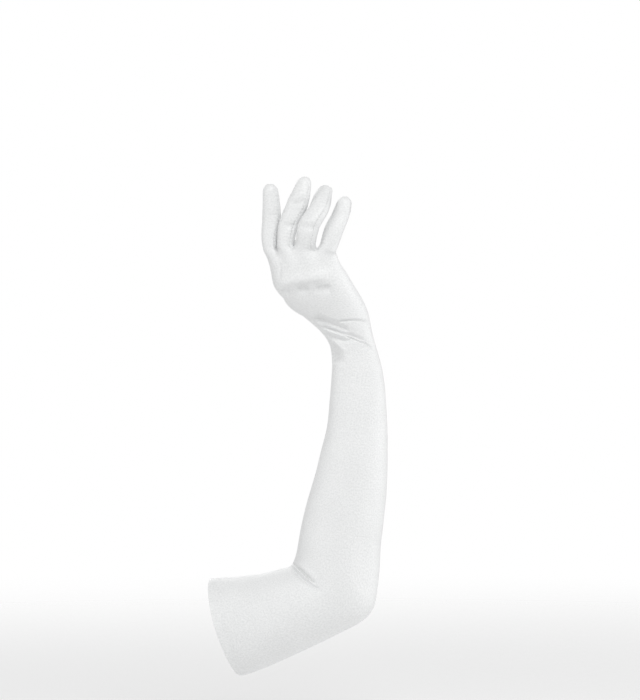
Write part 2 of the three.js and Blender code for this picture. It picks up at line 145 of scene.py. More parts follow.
# Folds and forms are lines on the plane through the origin, as the camera sees them.
# form: "round" has soft slopes. "crease" has a straight slope down to a sharp line, and is deeper
# where it is wider.
# half, to: the width of the slope above the line, at the line's start and end. under: below it.
# height: raised if positive, and a furrow if negative.
# points: x and z along the line, from its left or upper end.
# side: the front if left out, and 1 for the back.
FRONT = -1
FOLD_COLUMNS = "name form half to under height points side"

# Broad forms of the hand under the cloth.
FORMS = table(FOLD_COLUMNS, [
    ("elbow_dent", "round", 12, 12, 12, -2.2, [(148, 102), (150, 48)]),
    ("palm_hollow", "round", 14, 14, 14, -5, [(98, 356), (100, 378)], 1),
    ("thumb_mound", "round", 16, 16, 16, 6, [(98, 338), (80, 352)], 1),
], side=FRONT)

# The knuckles and joints, and folds of the cloth at the wrist and in the crook of the arm.
FOLDS = table(FOLD_COLUMNS, [
    ("knuckles", "round", 6, 6, 4.5, 2.6,
     [(50, 364), (58, 369.5), (66, 373.5), (83.5, 377), (97.7, 378.5), (106, 382), (112, 390)]),
    ("knuckle_step", "crease", 12, 12, 10, -2.1,
     [(46, 350), (58, 357), (68, 361), (83.5, 363.5), (97.7, 364.5), (108, 366), (122, 366)]),
    ("index_hollow", "round", 3.2, 3.2, 4, -2.9, [(58, 363.5), (63, 363), (68, 361.5)]),
    ("middle_hollow", "round", 3.2, 3.2, 4, -3.3, [(76, 365.5), (82.2, 366.6), (89, 364.8)]),
    ("ring_hollow", "round", 3.2, 3.2, 5, -2.8, [(94, 365.5), (104, 367.2), (115, 366.5)]),
    ("knuckle_dent", "round", 1.5, 1.5, 1.5, -1.2, [(56.5, 376), (57.5, 385), (58.2, 395)]),
    ("index_gap_foot", "round", 1.5, 1.5, 2, -2.4, [(53.3, 402.5), (53.5, 408), (53.6, 414)]),
    ("middle_joint", "round", 3.6, 3.6, 3.6, -1.8, [(57, 438), (66, 435.5), (76, 435)]),
    ("middle_tip_joint", "round", 3.0, 3.0, 3.0, -1.7, [(68, 459), (77, 460), (86, 463)]),
    ("ring_joint", "round", 4.0, 4.0, 4.0, -2.2, [(76, 435), (86, 434.5), (98, 433)]),
    ("index_joint", "round", 2.0, 2.0, 2.0, -0.5, [(43, 446), (49, 446.5), (56, 447)]),
    ("wrist_a", "crease", 2.0, 2.0, 0.9, -2.4,
     [(118, 330.4), (130, 332), (142, 332.4), (156, 330.2)]),
    ("wrist_b", "crease", 10, 4.4, 1.8, -6.9,
     [(92, 334.5), (99, 331.5), (105, 329.8), (112.5, 328), (121, 325), (128, 322.4), (136, 319.6)]),
    ("wrist_c_upper", "crease", 5.4, 2.8, 1.0, -4.2,
     [(98, 327.6), (108, 323.2), (116, 320.4), (125, 317.8), (133.5, 316), (142, 313.4), (155, 308.6)]),
    ("wrist_c_lower", "crease", 2.6, 2.2, 0.9, -2.8,
     [(126, 315.6), (133.5, 313.4), (140, 311), (148.6, 307.6), (154.1, 304.8), (161, 300.6)]),
    ("wrist_d", "crease", 6.2, 3.8, 1.5, -3.9,
     [(98, 321), (104, 318), (111.8, 314.4), (120.4, 311.8), (128, 310.2), (134, 311.2), (140, 311.6)]),
    ("wrist_d_ridge", "round", 1.5, 2.6, 2, 1.2,
     [(99, 318), (104.1, 314.8), (115, 309), (124.8, 303), (130, 294)]),
    ("wrist_left", "crease", 4.5, 17, 3, -2.6,
     [(98, 321), (105, 311), (110, 302), (112.5, 294), (113, 284)]),
    ("crook_upper", "round", 1.6, 2.2, 1.2, -2.5,
     [(68, 71), (72.4, 67.5), (82.5, 58.8), (92.6, 49.2), (99, 44.5)]),
    ("crook_ridge", "round", 0.8, 0.8, 0.8, 1.2, [(69, 69), (77.4, 61), (87.5, 51.4), (98, 44.5)]),
    ("crook_lower", "round", 2.2, 2.0, 1.8, -2.9,
     [(68, 68), (75.4, 58), (81.5, 52.5), (92.6, 44.9), (104, 39)]),
    ("crook_upper_lip", "round", 3.0, 3.0, 3.0, 1.2, [(76, 70), (88, 60), (99, 51)]),
    ("crook_lower_lip", "round", 3.0, 3.0, 3.0, 1.2, [(64, 64), (73, 52), (86, 42)]),
], side=FRONT)

# A ring of the sleeve or palm has 30 points. It starts at the seam on the little finger's side, and
# goes across the palm, round the index finger's side and across the back of the hand.
# Each finger takes 3 spans of the palm and 3 of the back.
RING = 30
SPANS = 3
FRONT_POINT = 22
PALM_START = 13
BACK_START = 16
INDEX_EDGE = [14, 15]
LITTLE_EDGE = [29, 0]

# A finger's ring has 12 points: the back from left to right, the right side, the palm from right to
# left, and the left side. The gussets end at a share of the finger's length.
FINGER_RING = 4 * SPANS
BACK = [0, 1, 2, 3]
RIGHT = [4, 5]
PALM = [6, 7, 8, 9]
LEFT = [10, 11]
GUSSET_ROWS = 19
GUSSET_END = 0.86
FINGER_ROWS = [GUSSET_END * (row + 1) / GUSSET_ROWS for row in range(GUSSET_ROWS)]
FINGER_ROWS += [0.9, 0.935, 0.965, 0.987]

# The gussets are the side strips of the rings. Half the strip's angle at the root and at the tip.
GUSSET_ANGLE = {"root": 40, "tip": 6}

# The web between two fingers: how far its corners lie below the roots and in from the surface.
# VALLEY_FADE: how much of the valleys between the fingers is left in the palm's last rows.
WEB_DROP = 4
WEB_SINK = 1.5
VALLEY_FADE = [0.55, 0.3, 0.15, 0.06]

# The thumb's hole: mesh columns, and mesh rows counted from two sections. Its corners are smoothed
# HOLE_ROUNDING times. The thumb's rings are at the shares THUMB_ROWS of its length. From ROUND_FROM
# to ROUND_BY they turn from the hole's form, which shrinks, into ellipses.
THUMB_COLUMNS = [9, 13]
THUMB_FROM = ("wrist_3", 1)
THUMB_TO = ("palm_3", -1)
THUMB_ROWS = [0.07 * (row + 1) for row in range(11)] + [0.83, 0.88, 0.925, 0.96, 0.985]
HOLE_ROUNDING = 3
HOLE_SHRINKS_TO = 0.75
ROUND_FROM = -0.05
ROUND_BY = 0.4

SUBDIVISIONS = 2
TINY = 1e-9
OUTLINE_STEPS = 720
TUBE_STEPS = 160
WALL = 0.8
GUSSETS = ["fourchette_index_middle", "fourchette_middle_ring", "fourchette_ring_little"]
PIECES = ["trank", "thumb", *GUSSETS, "hem"]

# At the mouth the cloth turns in round this radius, as rings at these angles of the turn. The hem
# starts there and goes back inside past these sections.
TURN_RADIUS = 0.9
TURN_ANGLES = [180, 120, 60]
HEM_SECTIONS = [2, 1]

# The rows of stitches through the hem: their places along the cloth, outside and inside, and how
# close to that a mesh row is.
HEM_STITCHES_AT = [9.7, -12.5]
ROW_NEARNESS = 0.4

# The cloth sinks less along these rows than along a seam, as if they were this much further away.
ROW_EASE = 1.3


def smooth(rows, column, u):
    """A value of the table's column between its rows, on a Catmull-Rom curve through them."""
    i = min(int(u), len(rows) - 2)
    a, b, c, d = (rows[min(max(k, 0), len(rows) - 1)][column] for k in range(i - 1, i + 3))
    t = u - i
    return b + 0.5 * t * (c - a + t * (2 * a - 5 * b + 4 * c - d + t * (3 * (b - c) + d - a)))


def middle_at(rows, u):
    return np.array([smooth(rows, axis, u) for axis in "xyz"])


def unit(vector):
    return vector / np.linalg.norm(vector)


def direction_at(rows, u):
    step = 0.05
    return unit(middle_at(rows, min(u + step, len(rows) - 1)) - middle_at(rows, max(u - step, 0)))


def smoothstep(value, start, end):
    t = np.clip((value - start) / (end - start), 0, 1)
    return t * t * (3 - 2 * t)


def bell(values):
    """1 at 0, and softly down to 0 on both sides."""
    return np.exp(-(values**2))


def running_length(line):
    """How far along a line of points each of them is."""
    return np.concatenate([[0], np.cumsum(np.linalg.norm(np.diff(line, axis=0), axis=1))])


def signed_power(values, power):
    return np.sign(values) * np.abs(values) ** power


def outline(width, depth, square):
    """Points evenly spaced round a section, as places forward and sideways, and its length."""
    angles = np.linspace(0, 2 * math.pi, OUTLINE_STEPS + 1)
    x = signed_power(np.cos(angles), 2 / square) * depth / 2
    y = signed_power(np.sin(angles), 2 / square) * width / 2
    lengths = running_length(np.stack([x, y], axis=1))
    places = ((np.arange(RING) - FRONT_POINT) % RING) * lengths[-1] / RING
    return np.interp(places, lengths, x), np.interp(places, lengths, y), lengths[-1]


def section_points(u):
    """The section at u: its points, how far each is to the left (-1) or right (1), its length."""
    value = {c: smooth(SECTIONS, c, u) for c in ("width", "depth", "square", "arch", "lean", "roll")}
    lean, roll = math.radians(value["lean"]), math.radians(value["roll"])
    across = np.array([
        math.cos(lean) * math.cos(roll), -math.sin(roll), math.sin(lean) * math.cos(roll)])
    front = unit(np.cross(across, direction_at(SECTIONS, u)))
    forward, sideways, length = outline(value["width"], value["depth"], value["square"])
    share = sideways / (value["width"] / 2)
    # The arch lifts the middle and lowers the edges by half each.
    forward = forward + value["arch"] * (0.5 - share**2)
    points = middle_at(SECTIONS, u) + np.outer(forward, front) + np.outer(sideways, across)
    return points, share, length


def section_ring(u):
    """A ring of the sleeve or palm, with its right side drawn down by the skew."""
    points, share, length = section_points(u)
    skew = smooth(SECTIONS, "skew", u)
    if skew:
        points = np.array([section_points(u - skew * share[k])[0][k] for k in range(RING)])
    return points, length


def tube_section(stops, place):
    """The section of a finger or thumb at a share of its length. The tip is round."""
    us = np.linspace(0, len(stops) - 1, TUBE_STEPS + 1)
    line = np.array([middle_at(stops, u) for u in us])
    lengths = running_length(line)
    u = np.interp(place * lengths[-1], lengths, us)
    tip_radius = stops[-1]["width"] / 2
    inside = 1 - min(lengths[-1] * (1 - place) / tip_radius, 1)
    rounding = math.sqrt(1 - inside * inside)
    return {
        "u": u,
        "middle": middle_at(stops, u),
        "along": direction_at(stops, u),
        "width": smooth(stops, "width", u) * rounding,
        "depth": smooth(stops, "depth", u) * rounding,
        "length": lengths[-1],
    }


def ellipse_point(section, across, forwards, angle):
    aside = across * math.sin(angle) * section["width"] / 2
    return section["middle"] + aside + forwards * math.cos(angle) * section["depth"] / 2


def finger_ring(stops, place):
    """The 12 points of a finger's ring, with side strips that narrow to the tip."""
    section = tube_section(stops, place)
    roll = math.radians(smooth(stops, "roll", section["u"]))
    across = np.array([math.cos(roll), -math.sin(roll), 0])
    across = unit(across - section["along"] * across.dot(section["along"]))
    forwards = np.cross(across, section["along"])
    strip = GUSSET_ANGLE["root"] + (GUSSET_ANGLE["tip"] - GUSSET_ANGLE["root"]) * place**2
    ring = []
    angle = strip - 90
    for arc in (180 - 2 * strip, 2 * strip, 180 - 2 * strip, 2 * strip):
        for _ in range(SPANS):
            ring.append(ellipse_point(section, across, forwards, math.radians(angle)))
            angle += arc / SPANS
    return ring, section


class Cage:
    """The glove's coarse surface. Each face knows its piece and its place on the flat cloth."""

    def __init__(self):
        self.points = []
        self.faces = []
        self.pieces = []
        self.cloth = []
        self.slits = set()

    def add_points(self, ring):
        first = len(self.points)
        self.points.extend(np.asarray(p, float) for p in ring)
        return list(range(first, len(self.points)))

    def add_face(self, corners, piece, cloth):
        self.faces.append(corners)
        self.pieces.append(PIECES.index(piece))
        self.cloth.append(cloth)

    def add_bands(self, rings, across, along, pieces):
        """Faces between rings of points. across: for each ring, the cloth places of each face's two
        sides. along: each ring's place along the cloth. pieces: for each band, each face's piece, or
        None in a hole."""
        for i, (lower, upper) in enumerate(zip(rings, rings[1:])):
            for k, piece in enumerate(pieces[i]):
                if piece:
                    after = (k + 1) % len(lower)
                    (a, b), (d, c) = across[i][k], across[i + 1][k]
                    low, high = along[i], along[i + 1]
                    corners = [lower[k], lower[after], upper[after], upper[k]]
                    self.add_face(corners, piece, [(a, low), (b, low), (c, high), (d, high)])

    def add_cap(self, ring, tip, piece, across, along):
        """Closes a ring with a fan of faces round the tip. Gives the tip's point."""
        end = self.add_points([tip])[0]
        for k, (a, b) in enumerate(across):
            cloth = [(a, along[0]), (b, along[0]), ((a + b) / 2, along[1])]
            self.add_face([ring[k], ring[(k + 1) % len(ring)], end], piece, cloth)
        return end

    def add_slit(self, line):
        """Marks a line of points where one piece's edges are sewn to each other."""
        self.slits.update(frozenset(pair) for pair in zip(line, line[1:]))

    def normals(self):
        """A normal at each point, from the faces round it."""
        sums = np.zeros((len(self.points), 3))
        for corners in self.faces:
            a, b, c, d = (self.points[corners[k % len(corners)]] for k in range(4))
            sums[corners] += np.cross(c - a, d - b)
        return sums / np.maximum(np.linalg.norm(sums, axis=1, keepdims=True), TINY)


def even_spans(length, count=RING, first=-RING / 2):
    """The cloth places of each face's two sides round a ring. first: where they start, in faces."""
    step = length / count
    return [((k + first) * step, (k + 1 + first) * step) for k in range(count)]


def finger_spans(f, section, palm_step):
    """The cloth places of each face's two sides round the ring of finger f."""
    arc = math.pi * (section["width"] + section["depth"]) / 2 / FINGER_RING
    back = (SPANS * f + SPANS / 2 + BACK_START - RING / 2) * palm_step
    palm = (PALM_START - SPANS * f - SPANS / 2 - RING / 2) * palm_step
    steps = np.arange(SPANS + 1)
    back_line = back + (steps - SPANS / 2) * arc
    palm_line = palm + (steps - SPANS / 2) * arc
    index_line = np.linspace(palm_line[-1], back_line[0], SPANS + 1)
    lines = [back_line, steps * arc, palm_line, steps * arc if f else index_line]
    return [(line[k], line[k + 1]) for line in lines for k in range(SPANS)]


def web_points(stops, next_stops):
    """The web between a finger and the next, from the back of the hand to the palm."""
    left, section = finger_ring(stops, 0)
    right, _ = finger_ring(next_stops, 0)
    left_side = [BACK[3], *RIGHT, PALM[0]]
    right_side = [BACK[0], LEFT[1], LEFT[0], PALM[3]]
    web = [(left[a] + right[b]) / 2 for a, b in zip(left_side, right_side)]
    inwards = unit(web[3] - web[0])
    web[0] = web[0] - section["along"] * WEB_DROP + inwards * WEB_SINK
    web[3] = web[3] - section["along"] * WEB_DROP - inwards * WEB_SINK
    return web


def row_places():
    """The mesh rows of the sleeve and palm, as places in the table of sections."""
    return [i + k / s["rows"] for i, s in enumerate(SECTIONS) for k in range(s["rows"])]


def mesh_row(place):
    """The mesh row that is a number of rows past a section."""
    section, plus = place
    return row_places().index([s["at"] for s in SECTIONS].index(section)) + plus


def turned_in_rings():
    """The turned-in cloth's rings, from the hem's inner edge to the mouth: points, length round and
    place along the cloth."""
    out = -direction_at(SECTIONS, 0)
    rings = []
    for u in HEM_SECTIONS:
        points, _, length = section_points(u)
        depth = float(np.linalg.norm(middle_at(SECTIONS, u) - middle_at(SECTIONS, 0)))
        turned = points + 2 * TURN_RADIUS * towards_middle(points)
        rings.append((turned, length, -math.pi * TURN_RADIUS - depth))
    points, _, length = section_points(0)
    for degrees in TURN_ANGLES:
        angle = math.radians(degrees)
        shift = out * math.sin(angle) + towards_middle(points) * (1 - math.cos(angle))
        rings.append((points + TURN_RADIUS * shift, length, -TURN_RADIUS * angle))
    return rings


def towards_middle(ring):
    inwards = ring.mean(axis=0) - ring
    return inwards / np.linalg.norm(inwards, axis=1, keepdims=True)


def add_turned_in(cage, mouth, mouth_length):
    """The cloth that turns in at the mouth and ends in the hem."""
    turned, lengths, along = zip(*turned_in_rings())
    rings = [*(cage.add_points(points) for points in turned), mouth]
    across = [even_spans(length) for length in (*lengths, mouth_length)]
    pieces = [["hem" if i < len(HEM_SECTIONS) else "trank"] * RING for i in range(len(turned))]
    cage.add_bands(rings, across, (*along, 0.0), pieces)
    cage.add_slit([ring[0] for ring in rings])


def add_sleeve(cage):
    """The sleeve and palm, round the thumb's hole. Gives its rings of points, and the last one's
    length and place along the cloth."""
    along = running_length(np.array([middle_at(SECTIONS, u) for u in row_places()]))
    sections, lengths = zip(*(section_ring(u) for u in row_places()))
    rings = [cage.add_points(points) for points in sections]
    pieces = [["trank"] * RING for _ in rings]
    for row in range(mesh_row(THUMB_FROM), mesh_row(THUMB_TO)):
        pieces[row][slice(*THUMB_COLUMNS)] = [None] * (THUMB_COLUMNS[1] - THUMB_COLUMNS[0])
    cage.add_bands(rings, [even_spans(length) for length in lengths], along, pieces)
    add_turned_in(cage, rings[0], lengths[0])
    return rings, lengths[-1], along[-1]


def foot_columns(f):
    """The columns that the back and the palm side of finger f stand on."""
    back = BACK_START + SPANS * f
    palm = PALM_START - SPANS * (f + 1)
    return list(range(back, back + SPANS + 1)), list(range(palm, palm + SPANS + 1))


def root_ring(webs):
    """The ring where the fingers begin, all round the hand."""
    feet = [finger_ring(stops, 0)[0] for stops in FINGERS.values()]
    ring = [None] * RING
    for f, foot in enumerate(feet):
        back, palm = foot_columns(f)
        for column, k in zip(back + palm, BACK + PALM):
            ring[column] = foot[k]
    for f, web in enumerate(webs):
        back, palm = foot_columns(f)
        ring[back[-1]], ring[palm[0]] = web[0], web[3]
    for column, k in zip(INDEX_EDGE, LEFT):
        ring[column] = feet[0][k]
    for column, k in zip(LITTLE_EDGE, RIGHT):
        ring[column] = feet[-1][k]
    return ring


def piece_of_finger(f, row, k):
    """The sides that face a neighbour are gussets, and the rest of a finger is the trank."""
    if row < GUSSET_ROWS and BACK[3] <= k < PALM[0] and f < len(GUSSETS):
        return GUSSETS[f]
    if row < GUSSET_ROWS and k >= PALM[3] and f > 0:
        return GUSSETS[f - 1]
    return "trank"


def finger_foot(f, root_points, web_rings):
    """The ring of points that finger f starts from."""
    back, palm = ([root_points[k] for k in columns] for columns in foot_columns(f))
    right = web_rings[f] if f < len(web_rings) else [root_points[k] for k in LITTLE_EDGE]
    left = web_rings[f - 1][::-1] if f else [root_points[k] for k in INDEX_EDGE]
    return back + right + palm + left


def add_finger(cage, f, stops, foot, root_along, palm_step):
    """Finger f, up from its foot. Gives its rings of points and the tip's point."""
    rings, sections = zip(*(finger_ring(stops, share) for share in FINGER_ROWS))
    rings = [cage.add_points(ring) for ring in rings]
    root, tip = tube_section(stops, 0), tube_section(stops, 1)
    across = [finger_spans(f, section, palm_step) for section in (root, *sections)]
    along = [root_along + share * tip["length"] for share in (0, *FINGER_ROWS, 1)]
    rows = range(len(FINGER_ROWS))
    pieces = [[piece_of_finger(f, row, k) for k in range(FINGER_RING)] for row in rows]
    cage.add_bands([foot, *rings], across, along, pieces)
    return rings, cage.add_cap(rings[-1], tip["middle"], "trank", across[-1], along[-2:])


def add_fingers(cage, rings, palm_length, palm_along):
    """The fingers and their gussets. The side seam's slit runs up the little finger, and on each
    finger the trank's front and back meet over the tip."""
    fingers = list(FINGERS.values())
    webs = [web_points(a, b) for a, b in zip(fingers, fingers[1:])]
    root = root_ring(webs)
    root_points = cage.add_points(root)
    web_rings = [cage.add_points([web[1], web[2]]) for web in webs]
    spans = even_spans(palm_length)
    palm_end = [cage.points[k] for k in rings[-1]]
    rise = float(np.linalg.norm(np.mean(root, axis=0) - np.mean(palm_end, axis=0)))
    root_along = palm_along + rise
    rows = (palm_along, root_along)
    cage.add_bands([rings[-1], root_points], (spans, spans), rows, [["trank"] * RING])
    plain, _ = section_ring(len(SECTIONS) - 1)
    for back, share in enumerate(VALLEY_FADE):
        for i, k in enumerate(rings[-1 - back]):
            cage.points[k] = cage.points[k] + (root[i] - plain[i]) * share

    slit = [ring[0] for ring in rings] + [root_points[0]]
    for f, stops in enumerate(fingers):
        foot = finger_foot(f, root_points, web_rings)
        finger, end = add_finger(cage, f, stops, foot, root_along, palm_length / RING)
        closed = finger[GUSSET_ROWS - 1:]
        left_line = [ring[PALM[3]] for ring in reversed(closed)]
        if f < len(webs):
            cage.add_slit([ring[PALM[0]] for ring in closed] + [end] + left_line)
        else:
            slit += [ring[RIGHT[1]] for ring in finger] + [end] + left_line
    cage.add_slit(slit)


def picture_places(points):
    """Where points are seen, on the plane through the origin, from the camera's place."""
    eye = np.array(CAMERA_AT) / MM
    scale = -eye[1] / (points[:, 1] - eye[1])
    return (eye + (points - eye) * scale[:, None])[:, [0, 2]]


def smooth_line(points, steps=6):
    us = np.linspace(0, len(points) - 1, steps * (len(points) - 1) + 1)
    return np.array([(smooth(points, 0, u), smooth(points, 1, u)) for u in us])


def line_distance(places, line):
    """For each place, its distance from the line, its share along it, and if it is below it."""
    lengths = running_length(line)
    best = np.full(len(places), np.inf)
    share = np.zeros(len(places))
    below = np.zeros(len(places), bool)
    for i in range(len(line) - 1):
        step = line[i + 1] - line[i]
        offset = places - line[i]
        t = np.clip(offset @ step / (step @ step), 0, 1)
        distance = np.linalg.norm(offset - t[:, None] * step, axis=1)
        nearer = distance < best
        along = (lengths[i] + t * (lengths[i + 1] - lengths[i])) / lengths[-1]
        best = np.where(nearer, distance, best)
        share = np.where(nearer, along, share)
        below = np.where(nearer, step[0] * offset[:, 1] < step[1] * offset[:, 0], below)
    return best, share, below


# A fold comes up and runs out over this share of its line.
FADE = 0.2


def fold_heights(points, normals, folds, fade):
    """How far the folds raise or lower each point."""
    places = picture_places(points)
    heights = np.zeros(len(points))
    for fold in folds:
        away, share, below = line_distance(places, smooth_line(fold["points"]))
        width = fold["half"] + (fold["to"] - fold["half"]) * share
        if fold["form"] == "crease":
            height = fold["height"] * (width / fold["half"])
            above = np.clip(1 - away / width, 0, 1)
        else:
            height = fold["height"]
            above = bell(away / width)
        shape = height * np.where(below, bell(away / fold["under"]), above)
        if fade:
            shape = shape * smoothstep(share, 0, FADE) * smoothstep(1 - share, 0, FADE)
        facing = np.sqrt(np.maximum(normals[:, 1] * fold["side"], 0))
        heights += shape * facing
    return heights


def add_forms(cage):
    points = np.array(cage.points)
    normals = cage.normals()
    cage.points = list(points + normals * fold_heights(points, normals, FORMS, False)[:, None])


def hole_outline(cage, rings):
    """The outline of the thumb's hole, with its corners rounded."""
    first, last = mesh_row(THUMB_FROM), mesh_row(THUMB_TO)
    start, end = THUMB_COLUMNS
    rim = [rings[first][k] for k in range(start, end)]
    rim += [rings[i][end] for i in range(first, last)]
    rim += [rings[last][k] for k in range(end, start, -1)]
    rim += [rings[i][start] for i in range(last, first, -1)]
    for _ in range(HOLE_ROUNDING):
        old = [cage.points[k] for k in rim]
        for i, k in enumerate(rim):
            beside = (old[(i + 1) % len(rim)] + old[i - 1]) / 2
            cage.points[k] = (old[i] + beside) / 2
    return rim


def add_thumb(cage, rings):
    """The thumb grows out of its hole: each ring turns from the hole's outline into an ellipse."""
    lines = [hole_outline(cage, rings)]
    rim = np.array([cage.points[k] for k in lines[0]])
    centre = rim.mean(axis=0)
    stops = [dict(THUMB[0], x=centre[0], y=centre[1], z=centre[2]), *THUMB]
    count = len(rim)
    widths = [THUMB[0]["width"]]
    for share in THUMB_ROWS:
        section = tube_section(stops, share)
        forwards = rim[0] - centre
        forwards = unit(forwards - section["along"] * forwards.dot(section["along"]))
        sideways = np.cross(section["along"], forwards)
        turned = smoothstep(share, ROUND_FROM, ROUND_BY)
        size = 1 + (HOLE_SHRINKS_TO - 1) * turned
        ring = []
        for i in range(count):
            round_point = ellipse_point(section, sideways, forwards, 2 * math.pi * i / count)
            held = (rim[i] - centre) * size + section["middle"]
            ring.append(held + (round_point - held) * turned)
        lines.append(cage.add_points(ring))
        widths.append(section["width"])
    tip = tube_section(stops, 1)
    across = [even_spans(math.pi * width, count, 0) for width in widths]
    along = [share * tip["length"] for share in (0, *THUMB_ROWS, 1)]
    cage.add_bands(lines, across, along, [["thumb"] * count] * len(THUMB_ROWS))
    cage.add_cap(lines[-1], tip["middle"], "thumb", across[-1], along[-2:])


def add_object(name, data):
    made = bpy.data.objects.new(name, data)
    bpy.context.scene.collection.objects.link(made)
    return made


def modified(mesh, kind, **settings):
    """The mesh after a modifier. The mesh before it is removed."""
    holder = add_object(mesh.name, mesh)
    modifier = holder.modifiers.new(kind, kind)
    for key, value in settings.items():
        setattr(modifier, key, value)
    graph = bpy.context.evaluated_depsgraph_get()
    made = bpy.data.meshes.new_from_object(holder.evaluated_get(graph))
    bpy.data.objects.remove(holder)
    bpy.data.meshes.remove(mesh)
    return made


def finished(bm, name, material):
    """Ends a bmesh as a smooth mesh of this material."""
    for face in bm.faces:
        face.smooth = True
        face.material_index = 0
    mesh = bpy.data.meshes.new(name)
    bm.to_mesh(mesh)
    bm.free()
    mesh.materials.append(material)
    return mesh


def subdivided(cage):
    """The cage as a fine, smooth mesh in millimetres."""
    mesh = bpy.data.meshes.new("cage")
    mesh.from_pydata([tuple(p) for p in cage.points], [], cage.faces)
    mesh.polygons.foreach_set("material_index", cage.pieces)
    cloth = mesh.uv_layers.new(name="cloth")
    cloth.uv.foreach_set("vector", np.array([uv for face in cage.cloth for uv in face]).ravel())
    slit = mesh.attributes.new("slit", "BOOLEAN", "EDGE")
    slit.data.foreach_set("value", [frozenset(e.vertices) in cage.slits for e in mesh.edges])
    return modified(mesh, "SUBSURF", levels=SUBDIVISIONS, uv_smooth="NONE")


def surface(mesh):
    """The points and the normals of a mesh."""
    values = np.empty((2, 3 * len(mesh.vertices)))
    mesh.vertices.foreach_get("co", values[0])
    mesh.vertex_normals.foreach_get("vector", values[1])
    return values.reshape(2, -1, 3)


def displace(mesh, heights):
    """Moves each point along its normal."""
    points, normals = surface(mesh)
    mesh.vertices.foreach_set("co", (points + normals * heights[:, None]).ravel())
    mesh.update()


def noise_at(points, size, seed):
    """Smooth noise from -1 to 1 with hills of about this size, in millimetres."""
    shift = Vector((seed, seed * 0.7, seed * 1.3))
    return np.array([noise.noise(Vector(p) / size + shift) for p in points])


# The folds' lines waver by this much, in waves of this size.
WARP = 0.3
WARP_SIZE = 11
WARP_SEEDS = (1.0, 5.0, 9.0)

# The slight unevenness of the cloth: the size of its hills, their height and their seed.
UNEVEN = [(45, 0.55, 3.0), (16, 0.16, 8.0)]

# Folds that end more sharply than this get a finer mesh within a distance of their line.
SHARP = 2.0
FINE_REACH = 1.8


def refine_near_folds(mesh):
    """Divides the faces along the sharp folds once more."""
    points, normals = surface(mesh)
    places = picture_places(points)
    near = np.zeros(len(points), bool)
    for fold in FOLDS:
        if fold["under"] < SHARP:
            away, _, _ = line_distance(places, smooth_line(fold["points"]))
            near |= (away < FINE_REACH) & (normals[:, 1] * fold["side"] > 0)
    bm = bmesh.new()
    bm.from_mesh(mesh)
    edges = [e for e in bm.edges if near[e.verts[0].index] and near[e.verts[1].index]]
    bmesh.ops.subdivide_edges(bm, edges=edges, cuts=1, use_grid_fill=True)
    bm.to_mesh(mesh)
    bm.free()


def add_folds(mesh):
    """Folds of the cloth, and the slight unevenness of cloth on an arm."""
    points, normals = surface(mesh)
    warp = WARP * np.stack([noise_at(points, WARP_SIZE, seed) for seed in WARP_SEEDS], axis=1)
    heights = fold_heights(points + warp, normals, FOLDS, True)
    for size, height, seed in UNEVEN:
        heights += height * noise_at(points, size, seed)
    displace(mesh, heights)


def hem_rows(mesh):
    """The rows of stitches through the hem, as lists of vertices in order."""
    cloth = mesh.uv_layers["cloth"].uv
    rows = [{} for _ in HEM_STITCHES_AT]
    for polygon in mesh.polygons:
        if PIECES[polygon.material_index] not in ("trank", "hem"):
            continue
        for loop, vertex in zip(polygon.loop_indices, polygon.vertices):
            across, along = cloth[loop].vector
            for row, place in zip(rows, HEM_STITCHES_AT):
                if abs(along - place) < ROW_NEARNESS:
                    row.setdefault(vertex, across)
    return [sorted(row, key=row.get) for row in rows]


def seam_lines(mesh):
    """The seams as lists of vertices in order: where pieces meet, and the slits in the trank.
    The hem isn't sewn to the trank where it turns in."""
    pieces_at = {}
    for polygon in mesh.polygons:
        piece = PIECES[polygon.material_index]
        if piece != "hem":
            for key in polygon.edge_keys:
                pieces_at.setdefault(key, set()).add(piece)
    slits = mesh.attributes["slit"].data
    beside = {}
    for edge in mesh.edges:
        if len(pieces_at.get(edge.key, ())) > 1 or slits[edge.index].value:
            a, b = edge.key
            beside.setdefault(a, []).append(b)
            beside.setdefault(b, []).append(a)
    used = set()
    lines = []
    ends = sorted(v for v in beside if len(beside[v]) != 2)
    for start in ends + sorted(beside):
        for step in beside[start]:
            if (start, step) in used:
                continue
            line = [start, step]
            while len(beside[line[-1]]) == 2 and line[-1] != start:
                line.append(next(v for v in beside[line[-1]] if v != line[-2]))
            for a, b in zip(line, line[1:]):
                used.update([(a, b), (b, a)])
            lines.append(line)
    return lines


def tree_of(points):
    tree = KDTree(len(points))
    for i, point in enumerate(points):
        tree.insert(point, i)
    tree.balance()
    return tree


# Along a seam the cloth sinks. On the hand, where it is tight, it puckers between the stitches too.
# PUCKER_FROM, PUCKER_FULL: the heights where the puckers start and are full.
SEAM_SINK = 0.12
SEAM_HALF = 1.1
STITCH_STEP = 3.8
PUCKER = 0.09
PUCKER_REACH = 2.8
PUCKER_FROM = 285
PUCKER_FULL = 325


def add_seams(mesh, lines, eases):
    """Sinks the cloth along the seams, and stores each vertex's place by its nearest seam.
    Gives the places of the seams' own vertices, a list for each seam."""
    points, normals = surface(mesh)
    measures = [running_length(points[line]) for line in lines]
    ease = np.repeat(eases, [len(line) for line in lines])
    tree = tree_of([points[v] for line in lines for v in line])
    found = [tree.find(p) for p in points]
    nearest = np.array([index for _, index, _ in found])
    away = np.array([distance for _, _, distance in found]) + ease[nearest]
    along = np.concatenate(measures)[nearest]
    ripple = np.cos(2 * math.pi * along / STITCH_STEP) * bell(away / PUCKER_REACH)
    ripple *= smoothstep(points[:, 2], PUCKER_FROM, PUCKER_FULL)
    for name, values in (("seam_away", away), ("seam_along", along)):
        mesh.attributes.new(name, "FLOAT", "POINT").data.foreach_set("value", values)
    displace(mesh, PUCKER * ripple - SEAM_SINK * bell(away / SEAM_HALF))
    return measures


